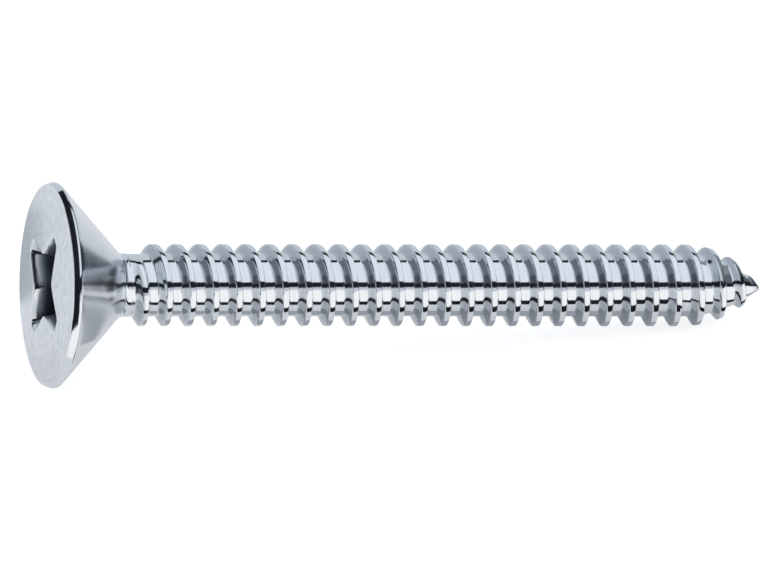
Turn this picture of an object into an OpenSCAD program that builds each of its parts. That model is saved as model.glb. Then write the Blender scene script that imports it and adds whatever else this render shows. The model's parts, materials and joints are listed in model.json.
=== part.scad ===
// Countersunk self-tapping screw with a cross recess, a coarse thread and a gimlet point.
// It lies as it comes to rest, on the rim of its head and on the crest of one of the last turns.
// Millimetres, +Z up, +X from the head to the point, origin under the middle of its bounding box.

/* [Head] */
// Largest diameter of the head
head_d = 10.5; // [8.5:0.1:12]
// Height of the crown in the middle of the face
crown_h = 0.25; // [0.05:0.05:0.6]
// Radius of the edge between the face and the rim
face_edge_r = 0.08; // [0.03:0.01:0.15]
// Straight height of the rim
rim_h = 0.26; // [0.05:0.01:0.4]
// Radius of the edge between the rim and the cone
cone_edge_r = 0.15; // [0.05:0.01:0.3]
// Full angle of the countersink cone
cone_angle = 94; // [84:1:100]
// Radius of the fillet between the cone and the neck
neck_fillet_r = 0.5; // [0.2:0.05:0.8]

/* [Cross recess] */
// Diameter across the wings, at the edge of the face
recess_d = 5.9; // [4.4:0.1:6.4]
// Width of a wing at its outer end, at the edge of the face
wing_w = 0.8; // [0.5:0.05:1.1]
// Distance from the axis to the corner between two wings, at the edge of the face
wing_corner_r = 1.5; // [1.1:0.05:1.6]
// Depth of the wings below the edge of the face
recess_depth = 2.7; // [1.5:0.1:3]
// Height of the cone at the bottom of the recess
recess_cone_h = 0.5; // [0.2:0.1:0.6]
// Slope of the outer ends of the wings, from the axis
wing_slope = 26.5; // [15:0.5:28]
// Turn of the recess round the axis of the screw
recess_turn = 25; // [0:1:90]

/* [Shank] */
// Length from the edge of the face to the point
screw_l = 38; // [25:1:60]
// Diameter of the neck under the head
neck_d = 3.24; // [3.22:0.02:3.6]
// Straight length of the neck past its fillet
neck_l = 0.07; // [0.05:0.01:0.25]

/* [Thread] */
// Diameter over the crests
thread_d = 4.2; // [3.9:0.05:4.6]
// Diameter at the root
root_d = 3.2; // [2.9:0.02:3.2]
// Distance from one turn to the next
pitch = 1.232; // [1.1:0.002:1.5]
// Width of the flat on the crest
crest_w = 0.28; // [0.1:0.01:0.36]
// Full angle between the two flanks
flank_angle = 60; // [50:1:64]
// Distance along the axis from the end of the neck to the middle of the thread's first turn
thread_lead = 0.37; // [0.32:0.01:2]
// Turn of the start of the thread round the axis of the screw
thread_turn = 180; // [0:5:355]
// Turns over which the thread grows to its full height
run_out = 0.42; // [0.2:0.02:1]
// Length of the pointed end
point_l = 4.15; // [3:0.05:6]

/* [Smoothness] */
// Flat steps in each turn of the thread
turn_steps = 28; // [16:4:36]
// Flat steps in each rounded edge of the head
edge_steps = 6; // [3:1:10]
// Sides of the round parts
$fn = 96; // [48:12:144]

/* [Hidden] */

head_r = head_d / 2;
neck_r = neck_d / 2;
thread_r = thread_d / 2;
root_r = root_d / 2;
half_cone = cone_angle / 2;

// Distances along the axis are measured from the edge of the face towards the point.
// The rim: the two centres of its rounded edges, and the centre of the fillet at the neck.
face_r = head_r - face_edge_r;
rim_end = face_edge_r + rim_h;
cone_edge_cr = head_r - cone_edge_r;
fillet_cr = neck_r + neck_fillet_r;
fillet_pos = rim_end
    + (cone_edge_r + neck_fillet_r + (cone_edge_cr - fillet_cr) * cos(half_cone)) / sin(half_cone);
neck_end = fillet_pos + neck_l;
thread_start = neck_end + thread_lead;

// The crown is part of a sphere that meets the face's edge.
crown_sphere_r = (face_r * face_r + crown_h * crown_h) / (2 * crown_h);
crown_sweep = asin(face_r / crown_sphere_r);
crown_steps = 2 * edge_steps;

// The recess is cut from above the crown, so its outline is drawn larger there.
recess_r = recess_d / 2;
recess_over = crown_h + 0.2;
recess_top_scale = 1 + recess_over * tan(wing_slope) / recess_r;
recess_floor_scale = 1 - recess_depth * tan(wing_slope) / recess_r;
recess_cone_overlap = 0.1;
recess_cone_share = 0.9;

// The thread's surface follows the helix, four points across each turn.
// Its first end is buried in the neck, and all of its last turn meets at the point.
base_w = crest_w + (thread_d - root_d) * tan(flank_angle / 2);
turn_offsets = [-base_w / 2, -crest_w / 2, crest_w / 2, base_w / 2];
turn_heights = [0, 1, 1, 0];
turn_points = len(turn_offsets);
buried_l = 0.6;
buried_pos = neck_end - buried_l;
spare_turns = 2;
first_turn = floor((buried_pos - thread_start) / pitch + thread_turn / 360) - spare_turns;
last_turn = ceil((screw_l - thread_start) / pitch + thread_turn / 360) + spare_turns;
first_step = first_turn * turn_steps;
last_step = last_turn * turn_steps;
ring_index = (last_step - first_step + 1) * turn_points;
tip_index = ring_index + turn_steps;

// Point on an arc round a centre, with the angle measured from the axis of the first coordinate.
function arc_point(centre, r, a) = [centre[0] + r * cos(a), centre[1] + r * sin(a)];

// Points of an arc, both ends included.
function arc(centre, r, from, to, steps) =
    [for (k = [0:steps]) arc_point(centre, r, from + (to - from) * k / steps)];

// Radius at a distance along the axis of a cylinder that ends in a rounded point.
function pointed_r(r, pos) =
    let (past = max(0, pos - (screw_l - point_l)))
    let (bend = (r * r + point_l * point_l) / (2 * r))
    max(0, sqrt(max(0, bend * bend - past * past)) - (bend - r));

// Smooth rise from 0 to 1 over the run-out, for a number of turns from the start of the thread.
function thread_growth(turns) =
    let (u = min(max(turns / run_out, 0), 1))
    u * u * (3 - 2 * u);

// Turns from the start of the thread, and distance along the axis, at a step of the helix.
function step_turns(i) = i / turn_steps - thread_turn / 360;
function crest_pos(i) = thread_start + pitch * step_turns(i);

// Point of the thread's surface at a step of the helix and a place across the turn.
function thread_point(i, j) =
    let (pos = min(max(crest_pos(i) + turn_offsets[j], buried_pos), screw_l))
    let (core = pointed_r(root_r, pos))
    let (ridge = turn_heights[j] * thread_growth(step_turns(i)) * (pointed_r(thread_r, pos) - core))
    let (a = 360 * i / turn_steps)
    [(core + ridge) * cos(a), (core + ridge) * sin(a), pos];

// Index of that point.
// Places before the buried end share one ring, and places past the point are the point.
// The place after the last one across a turn is the first place of the next turn.
function thread_index(i, j) =
    j == turn_points ? thread_index(i + turn_steps, 0) :
    crest_pos(i) + turn_offsets[j] <= buried_pos ? ring_index + (i - first_step) % turn_steps :
    crest_pos(i) + turn_offsets[j] >= screw_l ? tip_index :
    (i - first_step) * turn_points + j;

// A triangle as a list of one face, or no face where two of its corners are one point.
function face(a, b, c) = a == b || b == c || c == a ? [] : [[a, b, c]];

// Slope of the line that touches the rim's rounded edge and a point below the axis.
function rest_slope(pos, r) =
    let (along = pos - rim_end)
    let (drop = cone_edge_cr - r)
    atan2(drop, along) + asin(cone_edge_r / norm([along, drop]));

// The screw leans until the first edge of a crest touches the surface.
// Each turn's lowest step is a whole turn.
low_crests = [for (t = [ceil(thread_turn / 360 + run_out):last_turn])
    for (side = [-1, 1])
        let (pos = crest_pos(t * turn_steps) + side * crest_w / 2)
        if (pos < screw_l) pos];
lean = min([for (pos = low_crests) rest_slope(pos, pointed_r(thread_r, pos))]);
rest_height = rim_end * sin(lean) + cone_edge_cr * cos(lean) + cone_edge_r;
left_end = face_edge_r * cos(lean) - face_r * sin(lean) - face_edge_r;
right_end = screw_l * cos(lean);

// Half of the outline of the head and neck, in distance from the axis and distance along it.
module head_outline() {
    polygon(concat(
        arc([0, crown_sphere_r - crown_h], crown_sphere_r, -90, crown_sweep - 90, crown_steps),
        arc([face_r, face_edge_r], face_edge_r, -90 + 90 / edge_steps, 0, edge_steps - 1),
        arc([cone_edge_cr, rim_end], cone_edge_r, 0, half_cone, edge_steps),
        arc([fillet_cr, fillet_pos], neck_fillet_r, 180 + half_cone, 180, edge_steps),
        [[neck_r, neck_end], [0, neck_end]]
    ));
}

// Outline of the recess at the edge of the face: four wings that narrow outwards.
module recess_outline() {
    corner = wing_corner_r / sqrt(2);
    polygon([for (k = [0:3]) for (p = [[corner, -corner], [recess_r, -wing_w / 2], [recess_r, wing_w / 2]])
        [p[0] * cos(90 * k) - p[1] * sin(90 * k), p[0] * sin(90 * k) + p[1] * cos(90 * k)]]);
}

// The recess narrows as it goes in, and ends in a cone.
module recess() {
    translate([0, 0, -recess_over])
        linear_extrude(height = recess_over + recess_depth, scale = recess_floor_scale / recess_top_scale)
            scale(recess_top_scale)
                recess_outline();
    translate([0, 0, recess_depth - recess_cone_overlap])
        cylinder(
            h = recess_cone_h + recess_cone_overlap,
            r1 = recess_cone_share * recess_floor_scale * wing_corner_r / sqrt(2),
            r2 = 0
        );
}

module head() {
    difference() {
        rotate_extrude() head_outline();
        rotate([0, 0, recess_turn]) recess();
    }
}

// Core, thread and point in one: the ridge is wound round a core that narrows to the point.
module threaded_shank() {
    points = concat(
        [for (i = [first_step:last_step]) for (j = [0:turn_points - 1]) thread_point(i, j)],
        [for (k = [0:turn_steps - 1])
            [root_r * cos(360 * k / turn_steps), root_r * sin(360 * k / turn_steps), buried_pos]],
        [[0, 0, screw_l]]
    );
    ridge_faces = [
        for (i = [first_step:last_step - turn_steps - 1])
            for (j = [0:turn_points - 1])
                let (a = thread_index(i, j), b = thread_index(i + 1, j))
                let (c = thread_index(i + 1, j + 1), d = thread_index(i, j + 1))
                each concat(face(c, b, a), face(d, c, a))
    ];
    buried_face = [[for (k = [0:turn_steps - 1]) ring_index + k]];
    polyhedron(points, concat(ridge_faces, buried_face));
}

module screw() {
    color("silver")
        translate([-(left_end + right_end) / 2, 0, rest_height])
            rotate([0, 90 + lean, 0]) {
                head();
                threaded_shank();
            }
}

screw();
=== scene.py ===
# %% [markdown]
# # A countersunk self-tapping screw
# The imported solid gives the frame: where the screw lies, which way its axis points and how large it is.
# This lesson makes its skin once more with every edge softened, gives it a bright zinc finish,
# and lights it as a small product is lit on a white table.

# %% Load the frame
import json
import math

import bpy
import numpy as np
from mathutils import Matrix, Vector


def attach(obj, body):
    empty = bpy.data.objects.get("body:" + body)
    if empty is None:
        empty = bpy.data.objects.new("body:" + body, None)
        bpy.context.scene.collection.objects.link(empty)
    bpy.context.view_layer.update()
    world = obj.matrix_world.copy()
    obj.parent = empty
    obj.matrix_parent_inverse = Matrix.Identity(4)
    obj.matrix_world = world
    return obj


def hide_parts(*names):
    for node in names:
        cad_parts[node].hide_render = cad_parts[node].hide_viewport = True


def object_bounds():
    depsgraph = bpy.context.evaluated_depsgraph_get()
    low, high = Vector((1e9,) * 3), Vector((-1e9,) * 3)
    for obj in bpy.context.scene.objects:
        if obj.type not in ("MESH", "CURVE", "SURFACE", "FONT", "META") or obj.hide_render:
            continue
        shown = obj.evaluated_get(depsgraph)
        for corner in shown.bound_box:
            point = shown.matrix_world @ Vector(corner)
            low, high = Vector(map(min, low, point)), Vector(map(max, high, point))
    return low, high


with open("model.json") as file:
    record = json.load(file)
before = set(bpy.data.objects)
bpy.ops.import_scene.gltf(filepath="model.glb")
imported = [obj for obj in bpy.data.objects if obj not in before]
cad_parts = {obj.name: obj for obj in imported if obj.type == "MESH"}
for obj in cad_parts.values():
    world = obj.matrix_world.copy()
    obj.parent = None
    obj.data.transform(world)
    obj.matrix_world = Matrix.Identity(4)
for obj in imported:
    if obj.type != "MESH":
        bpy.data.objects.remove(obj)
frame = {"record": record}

cad_box = [list(corner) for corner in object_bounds()]
print("solid's box in metres:", cad_box)

# %% [markdown]
# ## The screw's own axes
# The screw leans on the rim of its head and on one of its last turns, so its axis is not level.
# A round part is easiest to describe in its own coordinates: distance along the axis, radius and angle.
# The frame's mounts say where the axis runs, so these axes are read from them and not typed in.

# %% Axes from the mounts
MM = 0.001
mounts = {mount["name"]: mount for mount in frame["record"]["mounts"]}
along = np.array(mounts["thread"]["axis"], float)
along /= np.linalg.norm(along)
aside = np.array([0.0, 1.0, 0.0])
under = np.cross(aside, along)
crown_h = 0.25
face_centre = np.array(mounts["drive_recess"]["pos_m"], float) + crown_h * MM * along
print("axis", along.round(4), "face centre in mm", (face_centre / MM).round(3))

# %% [markdown]
# ## Sizes
# The skin keeps the solid's form, so it uses the same few sizes, in millimetres.
# Radii that a mount states are read from it. The rest are sizes of the head and the neck, and each later step
# adds its own. The rim is a narrow bevel here, where the solid's is straight.

# %% Sizes in millimetres
head_r = mounts["countersunk_seat"]["dims"]["r_mm"]
recess_r = mounts["drive_recess"]["dims"]["r_mm"]
thread_r = mounts["thread"]["dims"]["r_mm"]
screw_l = 38.0
face_edge_r = 0.06
rim_tilt = math.radians(20)
cone_edge_r = 0.15
half_cone = math.radians(47)
neck_r = 1.62
neck_fillet_r = 0.5
neck_l = 0.07
print(f"head {2 * head_r} mm, recess {2 * recess_r} mm and thread {2 * thread_r} mm across")

# %% Places along the axis, from the edge of the face
# The rim is the straight line that touches the rounded edges at both its ends.
rim_end = 0.34
cone_edge_cr = head_r - cone_edge_r
rim_line = cone_edge_cr * math.cos(rim_tilt) - rim_end * math.sin(rim_tilt) + cone_edge_r
face_r = (rim_line + face_edge_r * math.sin(rim_tilt) - face_edge_r) / math.cos(rim_tilt)
# The fillet touches the cone and the neck.
fillet_cr = neck_r + neck_fillet_r
fillet_rise = cone_edge_r + neck_fillet_r + (cone_edge_cr - fillet_cr) * math.cos(half_cone)
fillet_pos = rim_end + fillet_rise / math.sin(half_cone)
neck_end = fillet_pos + neck_l
print(f"the neck ends {neck_end:.3f} mm from the edge of the face")

# %% [markdown]
# ## Grids round the axis
# Every stretch of the skin is a grid: one direction runs round the axis, the other along a profile.
# All stretches share the same angles round the axis, so they meet point on point and can be welded.

# %% Helpers for profiles
SIDES = 96
angles = 2 * np.pi * np.arange(SIDES) / SIDES
round_axis = np.stack([np.cos(angles), np.sin(angles)], axis=1)


def arc(centre, r, start, end, count):
    """Arc of (radius, distance) pairs: the centre plus r times (cos, sin) of an even run of angles."""
    turn = np.linspace(start, end, count)
    return np.array(centre) + r * np.stack([np.cos(turn), np.sin(turn)], axis=1)


def turned(profile):
    """A profile of (radius, distance) pairs carried round: x = radius cos, y = radius sin, z = distance."""
    flat = profile[:, None, :1] * round_axis
    distance = np.broadcast_to(profile[:, None, 1:], (len(profile), SIDES, 1))
    return np.concatenate([flat, distance], axis=2)


# %% Helpers for curves and straight stretches
def rounded(start, corner, end, count):
    """Rounded corner as a Bezier curve: (1-t)^2 start + 2t(1-t) corner + t^2 end, for t from 0 to 1."""
    t = np.linspace(0, 1, count).reshape(-1, *[1] * np.ndim(corner))
    return (1 - t) ** 2 * start + 2 * t * (1 - t) * corner + t**2 * end


def towards(start, end, reach):
    """Points at a given distance from each start point on the straight way to its end point."""
    way = end - start
    return start + reach * way / np.linalg.norm(way, axis=-1, keepdims=True)


def between(start, end, rows):
    """Rows in even steps on the straight way from start to end, without these two."""
    return np.linspace(start, end, rows + 2)[1:-1]


# %% [markdown]
# ## The outside of the head
# The head is upset in a die from a piece of wire, so its edges are soft and its cone runs into the neck
# in a fillet. It could be a cone with a Bevel modifier, but a turned profile gives each edge its own radius.
# One profile holds all of it, from the edge of the face over the short rim and the cone to the neck.

# %% Outside of the head
face_edge_points = 7
cone_edge_points = 10
fillet_points = 10
cone_rows = 12
crown_sphere_r = (face_r**2 + crown_h**2) / (2 * crown_h)
crown_sweep = math.asin(face_r / crown_sphere_r)
face_edge = arc((face_r, face_edge_r), face_edge_r, crown_sweep - np.pi / 2, -rim_tilt, face_edge_points)
cone_edge = arc((cone_edge_cr, rim_end), cone_edge_r, -rim_tilt, half_cone, cone_edge_points)
neck_fillet = arc((fillet_cr, fillet_pos), neck_fillet_r, np.pi + half_cone, np.pi, fillet_points)
cone = between(cone_edge[-1], neck_fillet[0], cone_rows)
neck = np.array([[neck_r, neck_end]])
head_outside = turned(np.concatenate([face_edge, cone_edge, cone, neck_fillet, neck]))
print("outside of the head:", head_outside.shape)

# %% [markdown]
# ## The cross recess
# A punch drives the cross into the face. Seen along the axis it is a star with four wings.
# The star has twelve corners, each rounded by a short curve. It is largest at its mouth and shrinks evenly
# with depth. A Boolean cut would leave sharp edges and thin faces. Here every point of the star keeps
# one angle of the grid, so recess, face and rim make one sheet without seams.

# %% Star of the recess
wing_w = 0.8
wing_corner_r = 1.5
wing_slope = math.radians(26.5)
recess_turn = math.radians(25)
corner_reach = 0.2
corner_count = 5
quarter = np.array([[0, 1], [-1, 0]])


def star_outline():
    """Star at the edge of the face: each of the 12 corners is a Bezier curve, then a straight run of points.
    A wing has an inner corner and two end corners. Quarter turns, (x, y) to (-y, x), make the other wings."""
    inner = wing_corner_r / math.sqrt(2)
    wing = np.array([[inner, -inner], [recess_r, -wing_w / 2], [recess_r, wing_w / 2]])
    corners = np.concatenate([wing @ np.linalg.matrix_power(quarter, k) for k in range(4)])
    begin = towards(corners, np.roll(corners, 1, axis=0), corner_reach)
    end = towards(corners, np.roll(corners, -1, axis=0), corner_reach)
    curve = rounded(begin, corners, end, corner_count)
    straight = between(end, np.roll(begin, -1, axis=0), SIDES // len(corners) - corner_count)
    return np.concatenate([curve, straight]).transpose(1, 0, 2).reshape(-1, 2)


# %% Turn the star and line its points up with the grid's angles
turn_matrix = np.array([[math.cos(recess_turn), math.sin(recess_turn)],
                        [-math.sin(recess_turn), math.cos(recess_turn)]])
star = star_outline() @ turn_matrix
middle_of_corner = corner_count // 2
corner_angle = math.atan2(star[middle_of_corner, 1], star[middle_of_corner, 0])
star = np.roll(star, round(corner_angle * SIDES / (2 * np.pi)) - middle_of_corner, axis=0)
print("star of the recess:", star.shape, "largest radius", np.linalg.norm(star, axis=1).max().round(3))


# %% Helpers for the recess and the face
def star_scale(pos):
    """Size of the star at a distance along the axis: 1 at the edge of the face,
    and less by the tangent of the wings' slope below it."""
    return 1 - pos * math.tan(wing_slope) / recess_r


def crown(radius):
    """Distance of the crowned face: its sphere's centre less the sphere's height at that radius."""
    return crown_sphere_r - crown_h - np.sqrt(crown_sphere_r**2 - radius**2)


def lifted(flat, pos):
    """Points of the plane (x, y) with a distance along the axis as their third coordinate."""
    return np.concatenate([flat, np.broadcast_to(pos, flat.shape[:-1])[..., None]], axis=-1)


# %% Corners of the sheet: tip of the recess, its floor, its mouth on the crown, and the edge of the face
recess_depth = 2.7
recess_cone_h = 0.5
recess_cone_share = 0.9
settling_rounds = 8
mouth_pos = np.zeros(SIDES)
star_radius = np.linalg.norm(star, axis=1)
for _ in range(settling_rounds):
    mouth_pos = crown(star_radius * star_scale(mouth_pos))
recess_cone_r = recess_cone_share * star_scale(recess_depth) * wing_corner_r / math.sqrt(2)
tip = lifted(0 * star, recess_depth + recess_cone_h)
cone_rim = lifted(recess_cone_r * round_axis, recess_depth)
floor_edge = lifted(star * star_scale(recess_depth), recess_depth)
mouth = lifted(star * star_scale(mouth_pos)[:, None], mouth_pos)
face_rim = head_outside[0]
print(f"the mouth lies {-mouth_pos.max():.2f} to {-mouth_pos.min():.2f} mm above the edge of the face")

# %% Rounded edges of the sheet: the floor's corner and the mouth's edge
floor_reach = 0.1
floor_points = 4
mouth_reach = 0.09
mouth_points = 6
wall_foot = rounded(towards(floor_edge, cone_rim, floor_reach), floor_edge,
                    towards(floor_edge, mouth, floor_reach), floor_points)
mouth_edge = rounded(towards(mouth, floor_edge, mouth_reach), mouth,
                     towards(mouth, face_rim, mouth_reach), mouth_points)
print("rounded edges of the recess:", wall_foot.shape, mouth_edge.shape)

# %% Rows of the sheet
tip_row_count = 5
floor_row_count = 2
wall_row_count = 12
face_row_count = 20
face_rows = between(mouth_edge[-1], face_rim, face_row_count)
face_rows[..., 2] = crown(np.linalg.norm(face_rows[..., :2], axis=2))
head = np.concatenate([
    np.linspace(tip, cone_rim, tip_row_count),
    between(cone_rim, wall_foot[0], floor_row_count),
    wall_foot,
    between(wall_foot[-1], mouth_edge[0], wall_row_count),
    mouth_edge,
    face_rows,
    head_outside,
])
face_end = len(head) - len(head_outside)
recess_end = face_end - len(face_rows)
print("head grid:", head.shape, "rows of the recess:", recess_end)

# %% [markdown]
# ## The thread
# The thread is rolled: dies press the wire until metal flows up into a ridge that winds round the core.
# A Screw modifier could wind one profile, but the ridge grows at the neck and closes on the point.
# So the grid itself winds. A point is named by a step along the helix and a place across the ridge.
# After the last place of one turn comes the first place of the next.
# Places past the screw's point all fall on it.

# %% Ridge across one turn
root_r = 1.6
pitch = 1.232
crest_w = 0.28
head_flank = math.radians(34)
point_flank = math.radians(17)
foot_round = 0.14
crest_round = 0.12
head_run = (thread_r - root_r) * math.tan(head_flank)
point_run = (thread_r - root_r) * math.tan(point_flank)
print(f"the flanks are {head_run:.3f} mm wide on the head's side and {point_run:.3f} mm on the point's")


def ridge_share(rise):
    """Share of the ridge's height, for a rise that is 0 at the foot of a flank and 1 at its top.
    It is the rise itself, with the two corners rounded: (rise + f)^2 / 4f and 1 - (1 + c - rise)^2 / 4c."""
    foot = np.clip(rise + foot_round, 0, None) ** 2 / (4 * foot_round)
    top = 1 - np.clip(1 + crest_round - rise, 0, None) ** 2 / (4 * crest_round)
    return np.where(rise < foot_round, foot, np.where(rise > 1 - crest_round, top, rise))


# %% Places across one turn, closer together where the ridge bends
bend_points = 5
mid_flank = [0.4, 0.65]
root_margin = 0.012
bends = np.linspace(-1, 1, bend_points)
rises = np.concatenate([foot_round * bends, mid_flank, 1 + crest_round * bends])
head_side = (rises - 1) * head_run - crest_w / 2
point_side = (1 - rises[::-1]) * point_run + crest_w / 2
flat_root = [point_side[-1] + root_margin, pitch + head_side[0] - root_margin]
across = np.concatenate([head_side, [0], point_side, flat_root])
heights = np.concatenate([ridge_share(rises), [1], ridge_share(rises[::-1]), [0, 0]])
print(f"{len(across)} places across a turn, ridge foot {point_side[-1] - head_side[0]:.3f} mm wide")

# %% Helpers for the run-out and the point
point_l = 4.15


def smooth(t):
    """Smooth step from 0 to 1: 3t^2 - 2t^3."""
    t = np.clip(t, 0, 1)
    return t * t * (3 - 2 * t)


def pointed(r, pos):
    """Radius of a rod that ends in an ogive: sqrt(bend^2 - past^2) - (bend - r),
    where past is the length into the ogive and bend is the radius of its arc."""
    past = np.clip(pos - (screw_l - point_l), 0, None)
    bend = (r**2 + point_l**2) / (2 * r)
    return np.clip(np.sqrt(np.clip(bend**2 - past**2, 0, None)) - (bend - r), 0, None)


# %% Steps along the helix
thread_lead = 0.37
start_turn = 0.5
spare_turns = 2
thread_start = neck_end + thread_lead
first_turn = math.floor((neck_end - thread_start) / pitch + start_turn) - spare_turns
last_turn = math.ceil((screw_l - thread_start) / pitch + start_turn) + spare_turns
steps = np.arange(first_turn * SIDES, last_turn * SIDES + 1)
turns = (steps / SIDES - start_turn)[:, None]
print("steps along the helix:", len(steps), "turns on the screw:", round((screw_l - thread_start) / pitch, 1))

# %% Thread grid, with a point that droops a little
run_out = 0.42
neck_step_l = 0.25
droop = 0.19
droop_l = 2.6
pos = np.clip(thread_start + pitch * turns + across, neck_end, screw_l)
core = pointed(root_r, pos) + (neck_r - root_r) * (1 - smooth((pos - neck_end) / neck_step_l))
radius = core + heights * smooth(turns / run_out) * (pointed(thread_r, pos) - core)
shank = lifted(radius[..., None] * round_axis[steps % SIDES][:, None], pos)
shank[..., 0] += droop * (np.clip(pos - (screw_l - droop_l), 0, None) / droop_l) ** 2
print("thread grid:", shank.shape)

# %% [markdown]
# ## Marks for the finish
# The finish follows how the metal flowed, so each point carries marks that the material will read.
# The grain runs round the head and along the ridge. The zones say where the recess, the face, the cone and
# the flanks on the head's side are, and the recess and these flanks carry painted shade. They could be
# painted by hand, but the grids know each place exactly.

# %% Grain
grain_ring = 0.35
head_steps = np.linalg.norm(np.diff(head, axis=0), axis=2).mean(axis=1)
head_way = np.concatenate([[0], np.cumsum(head_steps)])
head_grain = np.stack(np.broadcast_arrays(head_way[:, None], *(grain_ring * round_axis.T)), axis=2)
ridge_ring = pitch / (2 * np.pi)
ridge_angle = 2 * np.pi * across / pitch
ridge_circle = [ridge_ring * np.cos(ridge_angle), ridge_ring * np.sin(ridge_angle)]
shank_grain = np.stack(np.broadcast_arrays(*ridge_circle, pos), axis=2)
grain = np.concatenate([head_grain.reshape(-1, 3), shank_grain.reshape(-1, 3)])
print("grain for", len(grain), "points, the head's profile is", head_way[-1].round(2), "mm long")

# %% Where the zones lie
# The recess and the cone fade over a length in millimetres.
# The flanks fade over a sixth of the ridge, at its foot and at its top.
recess_fade = 0.8
cone_start = 0.45
cone_start_fade = 0.15
cone_stop = 3.5
cone_stop_fade = 0.4
flank_fade = 6
rows = np.arange(len(head))[:, None]
depth = head[..., 2]
in_recess = (rows < recess_end) * smooth((depth - mouth_pos) / recess_fade)
on_face = (rows >= recess_end) & (rows < face_end)
past_cone_start = (rows >= face_end) * smooth((depth - cone_start) / cone_start_fade)
on_cone = past_cone_start * (1 - smooth((depth - cone_stop) / cone_stop_fade))
ridge_rise = (radius - core) / (thread_r - root_r)
# This zone carries painted shade on the flanks that face the head.
on_flank = np.clip(flank_fade * np.minimum(ridge_rise, 1 - ridge_rise), 0, 1) * (across < 0)


# %% Zones as one value for each point
def zone(on_head, on_shank):
    """Values of all points: the head's in the order of its grid, then the shank's in the order of its own."""
    head_values = np.broadcast_to(on_head, head.shape[:2])
    shank_values = np.broadcast_to(on_shank, pos.shape)
    return np.concatenate([head_values.ravel(), shank_values.ravel()])


zones = {
    "recess": zone(in_recess, 0),
    "face": zone(on_face, 0),
    "cone": zone(on_cone, 0),
    "flank": zone(0, on_flank),
}
print("zones and their points:", {name: int((values > 0).sum()) for name, values in zones.items()})

# %% [markdown]
# ## From grids to one skin
# Neighbouring points of a grid make a four-sided face. Where points fall together, at the recess's tip,
# the neck and the point, they are welded, and a face that loses a corner there becomes a triangle.
# Blender's Merge by Distance does the same, but here the marks of the points have to follow the weld.

# %% Faces of both grids
def head_faces():
    """Face (row, side), (row, side + 1), (row + 1, side + 1), (row + 1, side).
    After the last side comes the first one again."""
    index = np.arange(head.shape[0] * SIDES).reshape(-1, SIDES)
    ahead = np.roll(index, -1, axis=1)
    return np.stack([index[:-1], ahead[:-1], ahead[1:], index[1:]], axis=-1).reshape(-1, 4)


def shank_faces(offset):
    """Face (step, place), (step + 1, place), (step + 1, place + 1), (step, place + 1).
    The place after the last one is the first place a whole turn of steps further on."""
    index = offset + np.arange(pos.size).reshape(pos.shape)
    wound = np.concatenate([index[:-SIDES], index[SIDES:, :1]], axis=1)
    near, far = wound[:-1], wound[1:]
    return np.stack([near[:, :-1], far[:, :-1], far[:, 1:], near[:, 1:]], axis=-1).reshape(-1, 4)


# %% Weld
weld = 1e-5
points = np.concatenate([head.reshape(-1, 3), shank.reshape(-1, 3)])
quads = np.concatenate([head_faces(), shank_faces(head.shape[0] * SIDES)])
weld_cells = np.round(points / weld).astype(np.int64)
_, kept, welded = np.unique(weld_cells, axis=0, return_index=True, return_inverse=True)
points = points[kept]
quads = welded.reshape(-1)[quads]
doubled = quads == np.roll(quads, -1, axis=1)
whole = quads[doubled.sum(axis=1) == 0]
pinched = doubled.sum(axis=1) == 1
three_sided = quads[pinched][~doubled[pinched]].reshape(-1, 3)
print(f"{len(points)} points, {len(whole)} four-sided and {len(three_sided)} three-sided faces")


# %% Skin
def skin_mesh(name, points, faces, zones, grain):
    """Mesh from points in the screw's own millimetres, with a mark of each zone and the grain.
    A point's place is the face's centre plus z along, x under and y aside, in metres."""
    placed = face_centre + MM * (points[:, 2:] * along + points[:, :1] * under + points[:, 1:2] * aside)
    mesh = bpy.data.meshes.new(name)
    mesh.from_pydata(placed.tolist(), [], faces)
    for zone_name, values in zones.items():
        mesh.attributes.new(zone_name, "FLOAT", "POINT").data.foreach_set("value", values.astype(np.float32))
    vectors = mesh.attributes.new("grain", "FLOAT_VECTOR", "POINT")
    vectors.data.foreach_set("vector", grain.astype(np.float32).ravel())
    mesh.shade_smooth()
    return mesh


kept_zones = {name: values[kept] for name, values in zones.items()}
mesh = skin_mesh("screw_skin", points, whole.tolist() + three_sided.tolist(), kept_zones, grain[kept])
screw = bpy.data.objects.new("screw_skin", mesh)
bpy.context.scene.collection.objects.link(screw)

# %% Measure the skin
# On a closed skin each edge belongs to two faces.
# The volume is a sixth of the sum of a . (b x c) over all triangles with the corners a, b and c.
open_edges = 2 * len(mesh.edges) - len(mesh.loops)
triangles = np.concatenate([whole[:, [0, 1, 2]], whole[:, [0, 2, 3]], three_sided])
a, b, c = points[triangles].transpose(1, 0, 2)
volume = np.einsum("ij,ij->i", a, np.cross(b, c)).sum() / 6
print(f"skin: {len(triangles)} triangles, {open_edges} open edges, {volume:.1f} cubic mm")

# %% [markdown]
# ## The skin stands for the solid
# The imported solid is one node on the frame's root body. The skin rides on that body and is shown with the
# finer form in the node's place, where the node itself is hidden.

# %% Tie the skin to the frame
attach(screw, "root")
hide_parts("screw")
print(screw.name, "stands for the node screw")

# %% [markdown]
# ## Bright zinc
# The screw is steel with a thin bright zinc plating: a metal mirror, a little blue, blurred by fine marks.
# One grey metal all over would do from afar. Close up, the face is spotted, and painted shade darkens the
# punched recess and the rolled flanks on the head's side, so the colour and the roughness change with grain,
# mottle and zones.

# %% Node helpers
def add_node(tree, kind, values=None, **settings):
    """A node of that kind with its settings and the constants of its input sockets."""
    node = tree.nodes.new(kind)
    for name, value in settings.items():
        setattr(node, name, value)
    for socket, value in (values or {}).items():
        node.inputs[socket].default_value = value
    return node


def zone_mark(tree, name):
    """Value of a zone at each point of the skin, from its attribute."""
    return add_node(tree, "ShaderNodeAttribute", attribute_name=name).outputs["Fac"]


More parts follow.
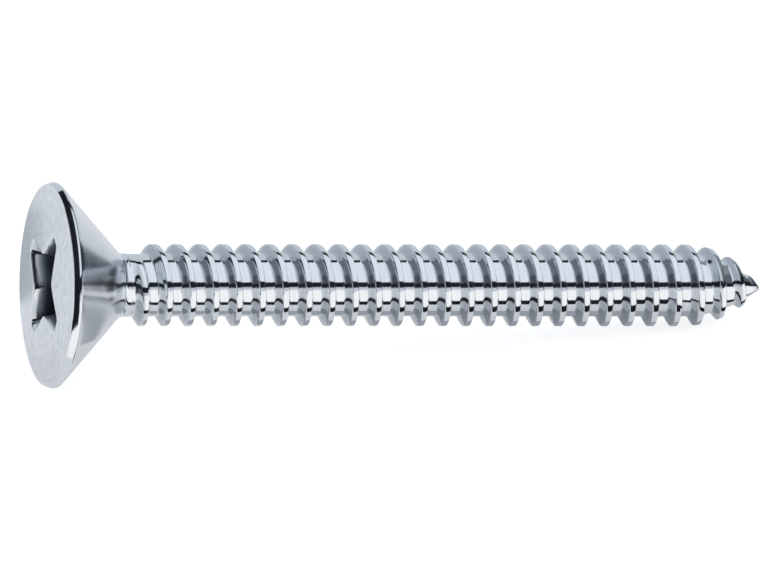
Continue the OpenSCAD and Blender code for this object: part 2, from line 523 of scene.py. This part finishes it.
# %% Helpers for colours and values
def ramp_between(tree, source, stops):
    """Colour that runs from stop to stop by a value, with stops of (position, colour)."""
    ramp = add_node(tree, "ShaderNodeValToRGB")
    elements = ramp.color_ramp.elements
    for element, (position, colour) in zip(elements, stops):
        element.position = position
        element.color = (*colour, 1)
    tree.links.new(source, ramp.inputs["Fac"])
    return ramp.outputs["Color"]


def tinted(tree, base, share, tint):
    """Colour between a base and a tint: base (1 - share) + tint share."""
    mix = add_node(tree, "ShaderNodeMix", data_type="RGBA", blend_type="MIX")
    mix.inputs["B"].default_value = (*tint, 1)
    tree.links.new(share, mix.inputs["Factor"])
    tree.links.new(base, mix.inputs["A"])
    return mix.outputs["Result"]


def raised(tree, base, share, amount):
    """Value raised by a share of an amount: share amount + base."""
    total = add_node(tree, "ShaderNodeMath", {1: amount}, operation="MULTIPLY_ADD")
    tree.links.new(share, total.inputs[0])
    tree.links.new(base, total.inputs[2])
    return total.outputs["Value"]


# %% Colour of the zinc
zinc_tones = [(0.3, (0.81, 0.84, 0.87)), (0.7, (0.90, 0.925, 0.95))]
# Painted shade: the recess is darkened in colour with depth, as a hollow in shade.
recess_shade_tint = (0.10, 0.12, 0.15)
spot_tint = (0.58, 0.62, 0.67)
spot_range = {"From Min": 0.45, "From Max": 0.7, "To Max": 0.5}
# Painted shade: the flanks that face the head are darkened in colour, as if in shade.
flank_shade_tint = (0.55, 0.58, 0.62)


def zinc_colour(tree, streaks, mottle):
    """Two zinc tones by the streaks, then painted shade in the recess, spotted on the face, and painted shade
    on the flanks that face the head.
    A spot's share is the upper part of the mottle, times the zone of the face."""
    streaked = ramp_between(tree, streaks, zinc_tones)
    # Painted shade in the recess, darker with depth.
    recess_shaded = tinted(tree, streaked, zone_mark(tree, "recess"), recess_shade_tint)
    spots = add_node(tree, "ShaderNodeMapRange", spot_range)
    tree.links.new(mottle, spots.inputs["Value"])
    spots_on_face = add_node(tree, "ShaderNodeMath", operation="MULTIPLY")
    tree.links.new(spots.outputs["Result"], spots_on_face.inputs[0])
    tree.links.new(zone_mark(tree, "face"), spots_on_face.inputs[1])
    spotted = tinted(tree, recess_shaded, spots_on_face.outputs["Value"], spot_tint)
    # Painted shade on the flanks that face the head.
    return tinted(tree, spotted, zone_mark(tree, "flank"), flank_shade_tint)


# %% Roughness of the zinc
mottle_blur = {"To Min": 0.06, "To Max": 0.12}
zone_blurs = {"face": 0.14, "cone": 0.06, "recess": 0.22}


def zinc_roughness(tree, mottle):
    """Roughness by the mottle, raised by each zone's own blur."""
    mottled = add_node(tree, "ShaderNodeMapRange", mottle_blur)
    tree.links.new(mottle, mottled.inputs["Value"])
    roughness = mottled.outputs["Result"]
    for name, blur in zone_blurs.items():
        roughness = raised(tree, roughness, zone_mark(tree, name), blur)
    return roughness


# %% Zinc material
streak_noise = {"Scale": 7, "Detail": 4, "Roughness": 0.6}
mottle_noise = {"Scale": 2600, "Detail": 3, "Roughness": 0.55}
streak_bump = {"Strength": 0.12, "Distance": 0.00002}


def zinc_finish():
    """Metal with streaks, a noise along the grain, and a mottle, a finer noise in the object's own space.
    Both change its colour, the mottle its roughness, and the streaks raise it as a faint bump."""
    material = bpy.data.materials.new("bright_zinc")
    material.use_nodes = True
    tree = material.node_tree
    link = tree.links.new
    shader = tree.nodes["Principled BSDF"]
    shader.inputs["Metallic"].default_value = 1
    grain_mark = add_node(tree, "ShaderNodeAttribute", attribute_name="grain")
    streaks = add_node(tree, "ShaderNodeTexNoise", streak_noise)
    link(grain_mark.outputs["Vector"], streaks.inputs["Vector"])
    own_space = add_node(tree, "ShaderNodeTexCoord")
    mottle = add_node(tree, "ShaderNodeTexNoise", mottle_noise)
    link(own_space.outputs["Object"], mottle.inputs["Vector"])
    link(zinc_colour(tree, streaks.outputs["Fac"], mottle.outputs["Fac"]), shader.inputs["Base Color"])
    link(zinc_roughness(tree, mottle.outputs["Fac"]), shader.inputs["Roughness"])
    bump = add_node(tree, "ShaderNodeBump", streak_bump)
    link(streaks.outputs["Fac"], bump.inputs["Height"])
    link(bump.outputs["Normal"], shader.inputs["Normal"])
    return material


screw.data.materials.append(zinc_finish())
print("zinc finish:", len(screw.data.materials[0].node_tree.nodes), "nodes")

# %% [markdown]
# ## Camera
# The photograph looks a little down on the screw, from the head's side, with a long lens that hides
# perspective. The view tilt is the angle between the axis and the picture. The swing and the elevation
# of the camera are the pair that gives this tilt and shows the leaning axis level, so they are worked out.

# %% Direction of the view
# The sine of the elevation is sin(lean) / sin(tilt), and that of the swing is tan(lean) / tan(elevation).
view_tilt = math.radians(16.5)
lean = math.asin(-along[2])
elevation = math.asin(math.sin(lean) / math.sin(view_tilt))
swing = math.asin(math.tan(lean) / math.tan(elevation))
to_camera = Vector((-math.sin(swing) * math.cos(elevation), -math.cos(swing) * math.cos(elevation),
                    math.sin(elevation)))
picture_right = to_camera.cross(Vector((0, 0, -1))).normalized()
picture_up = picture_right.cross(-to_camera)
print(f"camera {math.degrees(elevation):.1f} degrees up and {math.degrees(swing):.1f} degrees to the side")

# %% Camera
lens_mm = 1200
picture_w = 39.82 * MM
middle_of_picture = 18.22
axis_above_middle = 0.374
clip_end = 10
target = Vector(face_centre + middle_of_picture * MM * along) - axis_above_middle * MM * picture_up
camera_data = bpy.data.cameras.new("camera")
camera_data.lens = lens_mm
camera_data.clip_end = clip_end
camera = bpy.data.objects.new("camera", camera_data)
camera.location = target + to_camera * picture_w * lens_mm / camera_data.sensor_width
camera.rotation_euler = to_camera.to_track_quat("Z", "Y").to_euler()
bpy.context.scene.collection.objects.link(camera)
bpy.context.scene.camera = camera
print("camera at", [round(x, 4) for x in camera.location])

# %% [markdown]
# ## White table
# The table is plain white card, lit by the lamp, so the screw has a shadow on it.
# The camera sees an extra glow on it, which makes the background white without more light on the screw.
# Mirrors see only a little of that glow, so the metal shows the table as pale grey.

# %% Floor material
floor_tone = 0.56
glow_for_camera = 0.76
glow_for_mirrors = 0.36


def floor_white():
    """Diffuse white plus a glow, with one strength for camera rays and a lower one for mirrors and glass:
    camera ray times the first, plus the larger of glossy and transmission ray times the second."""
    material = bpy.data.materials.new("table_white")
    material.use_nodes = True
    tree = material.node_tree
    link = tree.links.new
    tree.nodes.remove(tree.nodes["Principled BSDF"])
    diffuse = add_node(tree, "ShaderNodeBsdfDiffuse", {"Color": (floor_tone, floor_tone, floor_tone, 1)})
    path = add_node(tree, "ShaderNodeLightPath")
    mirrored = add_node(tree, "ShaderNodeMath", operation="MAXIMUM")
    link(path.outputs["Is Glossy Ray"], mirrored.inputs[0])
    link(path.outputs["Is Transmission Ray"], mirrored.inputs[1])
    faint = add_node(tree, "ShaderNodeMath", {1: glow_for_mirrors}, operation="MULTIPLY")
    link(mirrored.outputs["Value"], faint.inputs[0])
    glow = add_node(tree, "ShaderNodeEmission")
    strength = raised(tree, faint.outputs["Value"], path.outputs["Is Camera Ray"], glow_for_camera)
    link(strength, glow.inputs["Strength"])
    both = add_node(tree, "ShaderNodeAddShader")
    link(diffuse.outputs["BSDF"], both.inputs[0])
    link(glow.outputs["Emission"], both.inputs[1])
    link(both.outputs["Shader"], tree.nodes["Material Output"].inputs["Surface"])
    return material


# %% Floor
def flat_piece(name, corners, material):
    """A piece of scenery with one four-sided face."""
    mesh = bpy.data.meshes.new(name)
    mesh.from_pydata(corners, [], [(0, 1, 2, 3)])
    mesh.materials.append(material)
    piece = bpy.data.objects.new(name, mesh)
    bpy.context.scene.collection.objects.link(piece)
    return piece


def level(height, *places):
    """Corners of a level piece: places (x, y) at one height."""
    return [(x, y, height) for x, y in places]


floor_half = 3.0
floor_z = cad_box[0][2]
flat_piece("floor", level(floor_z, (-floor_half, -floor_half), (floor_half, -floor_half),
                          (floor_half, floor_half), (-floor_half, floor_half)), floor_white())
print("floor", 2 * floor_half, "m wide")

# %% [markdown]
# ## Light tent
# Bright metal shows what stands round it, so small metal goods are photographed in a tent of pale cloth.
# Here the world is the tent, pale blue grey, and white only where the camera looks past the table.

# %% Tent walls
tent_tone = (0.58, 0.63, 0.69)
world = bpy.data.worlds.new("tent")
world.use_nodes = True
bpy.context.scene.world = world
tent = world.node_tree
walls = tent.nodes["Background"]
walls.inputs["Color"].default_value = (*tent_tone, 1)
white_behind = add_node(tent, "ShaderNodeBackground", {"Color": (1, 1, 1, 1)})
tent_path = add_node(tent, "ShaderNodeLightPath")
tent_mix = add_node(tent, "ShaderNodeMixShader")
tent.links.new(tent_path.outputs["Is Camera Ray"], tent_mix.inputs["Fac"])
tent.links.new(walls.outputs["Background"], tent_mix.inputs[1])
tent.links.new(white_behind.outputs["Background"], tent_mix.inputs[2])
tent.links.new(tent_mix.outputs["Shader"], tent.nodes["World Output"].inputs["Surface"])
print("tent walls", tent_tone)

# %% [markdown]
# ## Softbox
# One large lamp hangs over the front, a little to the right. It gives the screw its soft shadow and its
# highlights. A lamp adds its brightness to what a mirror shows, so its power is worked out from that.

# %% Lamp over the front
def softbox(name, angle, distance, middle_x, size, brightness):
    """Area lamp, level along x and turned to the screw. The angle is from the front up over the top.
    Its power is pi times its area times the brightness that it adds in a mirror."""
    lamp = bpy.data.lights.new(name, "AREA")
    lamp.shape = "RECTANGLE"
    lamp.size, lamp.size_y = size
    lamp.energy = math.pi * size[0] * size[1] * brightness
    box = bpy.data.objects.new(name, lamp)
    direction = Vector((0, -math.cos(angle), math.sin(angle)))
    box.location = distance * direction + Vector((middle_x, 0, 0))
    box.rotation_euler = direction.to_track_quat("Z", "Y").to_euler()
    box.visible_camera = False
    bpy.context.scene.collection.objects.link(box)
    return box


lamp_angle = math.radians(68)
lamp_distance = 0.35
lamp_x = 0.1
lamp_size = (0.5, 0.63)
lamp_brightness = 0.21
main_softbox = softbox("main_softbox", lamp_angle, lamp_distance, lamp_x, lamp_size, lamp_brightness)
print(f"softbox of {main_softbox.data.energy:.3f} W")

# %% [markdown]
# ## Cards that only mirrors see
# The dark lines and bright boxes that make metal look hard are reflections of cards beside it.
# Lines painted on the metal would stay where they are, while these move with the view as on a real screw.
# Each card glows evenly in one tone. The camera doesn't see it, and it neither lights nor shades the table.

# %% Helpers for cards
def plain_card(name, colour):
    """Material of a card: an even glow of one colour."""
    material = bpy.data.materials.new(name)
    material.use_nodes = True
    tree = material.node_tree
    tree.nodes.remove(tree.nodes["Principled BSDF"])
    glow = add_node(tree, "ShaderNodeEmission", {"Color": (*colour, 1)})
    tree.links.new(glow.outputs["Emission"], tree.nodes["Material Output"].inputs["Surface"])
    return material


def card(name, corners, material):
    """A card that shows in reflections only."""
    piece = flat_piece(name, corners, material)
    piece.visible_camera = False
    piece.visible_shadow = False
    piece.visible_diffuse = False
    return piece


def upright(left, right, low, high):
    """Corners of an upright card over a line on the floor from left to right."""
    return [(*left, low), (*right, low), (*right, high), (*left, high)]


# %% Tones of the cards
black = plain_card("black_card", (0.010, 0.012, 0.016))
white = plain_card("white_card", (1, 1, 1))
dark = plain_card("dark_card", (0.03, 0.04, 0.06))
grey = plain_card("grey_card", (0.11, 0.125, 0.145))
pale = plain_card("pale_card", (0.24, 0.265, 0.295))
mid = plain_card("mid_card", (0.33, 0.355, 0.39))
soft = plain_card("soft_card", (0.42, 0.45, 0.49))
print("tones:", [tone.name for tone in (black, dark, grey, pale, mid, soft, white)])

# %% [markdown]
# ## Cards that stand or hang
# A black bar in front draws the dark line along the thread. On the right stand a black, a grey and a pale
# card, one above the other, which the dark flanks mirror by way of the next turn. The front edges of the
# upper two are slanted, because the narrow roots near the point see further forward. Places are in metres.

# %% Front and right
front_y = -0.3
front_low = 0.053
front_high = 0.16
right_x = 0.2
right_end = 0.2
black_top = 0.045
grey_top = 0.12
grey_top_edge = -0.078
pale_top = 0.38


def on_right(*places):
    """Corners of a card in the plane on the right, from places (y, z)."""
    return [(right_x, y, z) for y, z in places]


front_and_right = [
    card("camera_card", upright((-0.35, front_y), (0.45, front_y), front_low, front_high), black),
    card("right_low_card", upright((right_x, -0.25), (right_x, 0.1), 0.0, black_top), black),
    card("right_card", on_right((-0.135, black_top), (right_end, black_top),
                                (right_end, grey_top), (grey_top_edge, grey_top)), grey),
    card("right_high_card", on_right((grey_top_edge, grey_top), (right_end, grey_top),
                                     (right_end, pale_top), (0.05, 0.24)), pale),
]
print(len(front_and_right), "cards in front and on the right")

# %% Behind the point, for the upper side of the cone
far_x = 0.3
far_right = (far_x, 0.03)
far_middle = (far_x, 0.175)
far_left = (far_x, 0.22)
dark_top = 0.026
soft_top = 0.14
behind_the_point = [
    card("right_back_low_card", upright(far_right, far_middle, 0.0, dark_top), dark),
    card("right_back_card", upright(far_right, far_left, dark_top, soft_top), soft),
]
print(len(behind_the_point), "cards behind the point")

# %% Hood for the black rim, and two cards that keep the recess dark
hood_h = 0.02
hood_left = (-0.0268, -0.015)
hood_right = (-0.0212, -0.015)
recess_front = (-0.046, -0.0245)
round_the_head = [
    card("hood_front", upright(hood_left, hood_right, 0.0, hood_h), black),
    card("hood_roof", level(hood_h, hood_left, hood_right, (-0.0165, 0.015), (-0.0225, 0.015)), black),
    card("recess_side", upright((-0.0232, -0.0083), recess_front, 0.0, hood_h), black),
    card("recess_roof", level(hood_h, (-0.0262, -0.005), (-0.0262, 0.005),
                              (-0.046, 0.027), recess_front), black),
]
print(len(round_the_head), "cards round the head")

# %% Bar overhead, for the dark dashes on the upper side of the thread
bar_h = 0.3
bar_places = [(-0.03, 0.118), (0.35, 0.118), (0.35, 0.205), (-0.03, 0.205)]
back_bar = card("back_bar", level(bar_h, *bar_places), black)
print("bar", round(back_bar.dimensions.y, 3), "m wide")

# %% [markdown]
# ## Cards on the table
# The white cards in front make the bright boxes on the turns, and a black strip along their edge draws
# the dark line below each box. A black card at the left carries the rim's dark line further down. Grey cards
# lie under the shank, beside the face and behind the point, for the undersides of the turns, for the face
# and for the cone. All of them lie a hair above the table.

# %% In front of the screw
hair = 0.00003
just_above = floor_z + hair
strip = 0.0016
strip_left = (-0.017, -0.004)
edge_right = (0.015, -0.0026)
card_left = (-0.0225, -0.0042 - strip)
card_right = (edge_right[0], edge_right[1] - strip)
card_end = 0.4
far_corner = (card_end, front_y)
on_table_in_front = [
    card("left_floor_card", level(just_above, (-0.036, -0.05), (-0.0236, -0.05),
                                  (-0.0225, -0.008), (-0.036, -0.008)), black),
    card("front_card", level(just_above, (-0.03, front_y), far_corner, card_right, card_left), white),
    card("front_strip", level(just_above, (strip_left[0], strip_left[1] - strip), card_right,
                              edge_right, strip_left), black),
]
print(len(on_table_in_front), "cards on the table in front")

# %% Round the point, where the strip narrows
tip_edge = (0.0208, 0.0006)
tip_strip_x = 0.0002
tip_strip_y = 0.0004
share_left_open = 0.4
strip_end = (tip_edge[0] - tip_strip_x, tip_edge[1] + tip_strip_y)
strip_start = (edge_right[0], edge_right[1] - share_left_open * strip)
round_the_point = [
    card("tip_card", level(just_above, card_right, far_corner, (card_end, 0.01), tip_edge), white),
    card("tip_strip", level(just_above, card_right, tip_edge, strip_end, strip_start), black),
]
print(len(round_the_point), "cards round the point")

# %% Grey cards beside the face, under the shank and behind the point
near_middle = (0.02, 0.0105)
grey_on_table = [
    card("face_card", level(just_above, (-0.025, 0.017), (-0.012, 0.007),
                            (-0.012, 0.034), (-0.028, 0.034)), soft),
    # Painted shade: the mid card under the shank darkens the shadow there as the undersides of the turns
    # mirror it.
    card("under_card", level(just_above, (-0.0135, -0.0012), (0.016, -0.0012),
                             (0.016, 0.0008), (-0.0135, 0.0008)), mid),
    card("behind_card", level(just_above, (0.006, 0.002), far_right, far_middle, near_middle), dark),
    card("behind_side_card", level(just_above, near_middle, far_middle, (far_x, 0.235), (0.02, 0.016)), soft),
]
print(len(grey_on_table), "grey cards on the table")

# %% [markdown]
# ## Picture settings
# The Standard view shows colours as they are written, where a film-like view would grey the white table.

# %% View transform
bpy.context.scene.view_settings.view_transform = "Standard"
